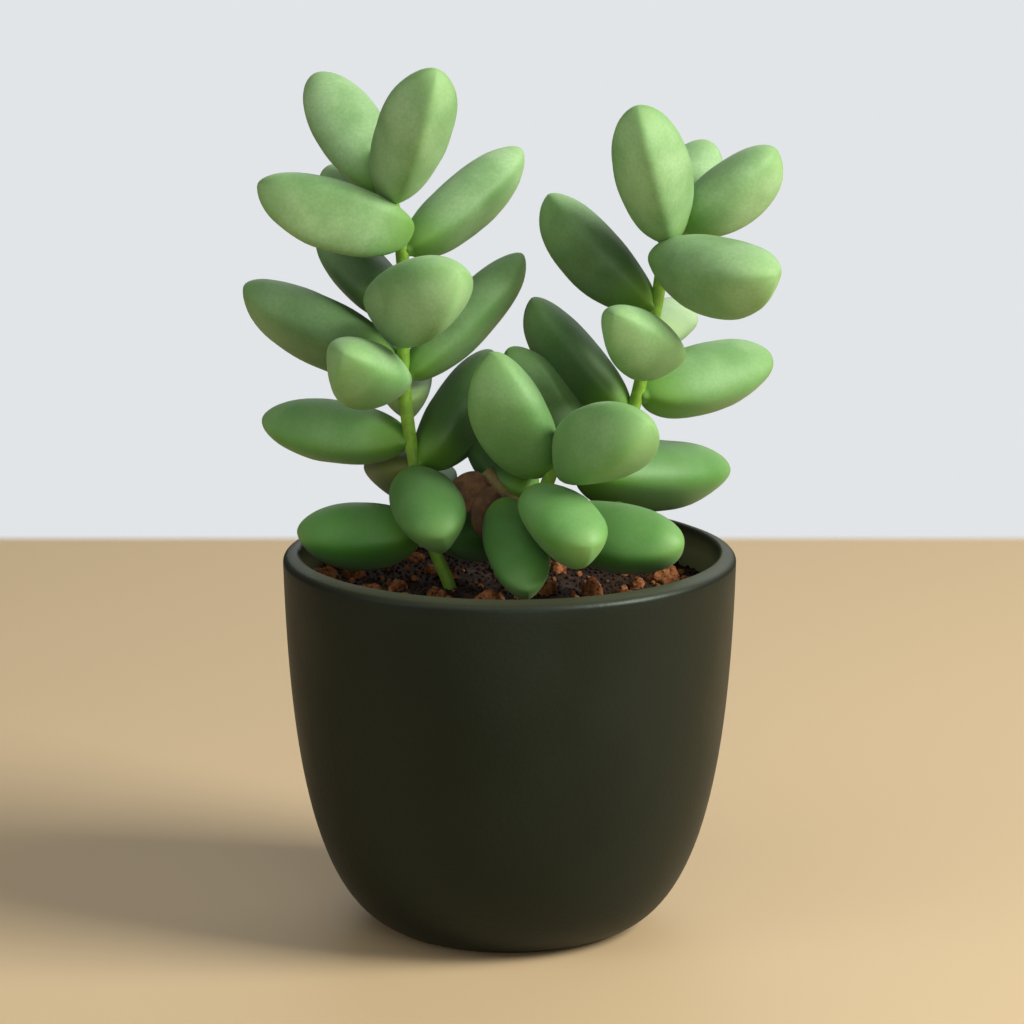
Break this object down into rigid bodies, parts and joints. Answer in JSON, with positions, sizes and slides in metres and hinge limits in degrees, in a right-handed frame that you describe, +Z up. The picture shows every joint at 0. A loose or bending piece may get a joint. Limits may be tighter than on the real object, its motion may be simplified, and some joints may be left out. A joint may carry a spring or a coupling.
{
  "type": "ice plant",
  "caption": "Small potted succulent with three upright shoots of thick, pointed, keeled leaves in a plain round pot with dry soil.",
  "frame": {"origin": "centre of the pot's flat foot, on the surface it stands on", "axes": "+Z up, +X to the right and -Y to the front as the picture sees it"},
  "size_m": [0.1175, 0.1, 0.1937],
  "materials": {
    "pot": "matt charcoal glaze with a slightly shiny lip",
    "soil": "dry, crumbly, red-brown",
    "stem": "satin, yellow-green",
    "leaf": "matt waxy bloom over fresh green",
    "old_leaf": "matt, faded olive green",
    "dry_leaf": "matt, dry and papery"
  },
  "bodies": {
    "root": {"pot": "pot", "soil": "soil", "left_stem": "stem", "left_leaf_01": "leaf", "left_leaf_02": "leaf", "left_leaf_03": "leaf", "left_leaf_04": "leaf", "left_leaf_05": "leaf", "left_leaf_06": "leaf", "left_leaf_07": "leaf", "left_leaf_08": "leaf", "left_leaf_09": "leaf", "left_leaf_10": "leaf", "left_leaf_11": "leaf", "left_leaf_12": "old_leaf", "left_leaf_13": "leaf", "left_leaf_14": "leaf", "left_leaf_15": "old_leaf", "left_leaf_16": "leaf", "left_leaf_17": "leaf", "left_bud_01": "leaf", "right_stem": "stem", "right_leaf_01": "leaf", "right_leaf_02": "leaf", "right_leaf_03": "leaf", "right_leaf_04": "leaf", "right_leaf_05": "leaf", "right_leaf_06": "leaf", "right_leaf_07": "leaf", "right_leaf_08": "leaf", "right_leaf_09": "leaf", "right_leaf_10": "leaf", "right_leaf_11": "leaf", "right_bud_01": "leaf", "middle_stem": "stem", "middle_leaf_01": "leaf", "middle_leaf_02": "leaf", "middle_leaf_03": "leaf", "middle_leaf_04": "leaf", "middle_leaf_05": "leaf", "middle_leaf_06": "leaf", "middle_leaf_07": "leaf", "withered_twig": "dry_leaf", "withered_dry_01": "dry_leaf", "withered_dry_02": "dry_leaf"}
  },
  "joints": []
}
